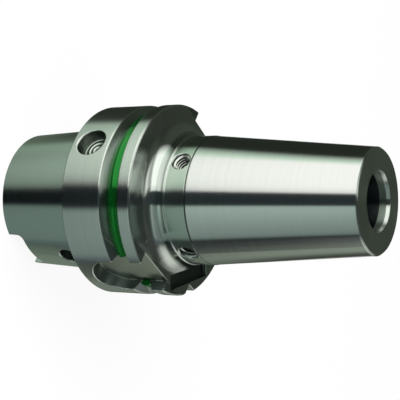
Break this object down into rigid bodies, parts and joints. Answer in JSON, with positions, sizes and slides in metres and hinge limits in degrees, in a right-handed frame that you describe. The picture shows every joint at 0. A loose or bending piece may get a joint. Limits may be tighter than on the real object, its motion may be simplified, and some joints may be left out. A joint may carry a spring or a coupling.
{
  "type": "shrink fit tool holder",
  "caption": "Steel shrink fit tool holder with a hollow taper shank, a slotted and grooved flange, a slim conical nose and a plain central bore for a cutter shank.",
  "frame": {"origin": "on the holder's axis, in the plane of the flange's contact face, where the spindle's nose seats", "axes": "+Z along the axis towards the nose and its bore, +X through the narrow slot of the flange, -Y through the data chip pocket, -Z along the taper shank"},
  "size_m": [0.063, 0.063, 0.127],
  "materials": {
    "ground_steel": "fine turned and ground, satin",
    "green_band": "smooth, half gloss",
    "blackened_steel": "black oxide, dull"
  },
  "bodies": {
    "root": {"holder_body": "ground_steel", "colour_band_chip_side": "green_band", "colour_band_notch_side": "green_band", "length_stop_screw": "blackened_steel"}
  },
  "joints": []
}
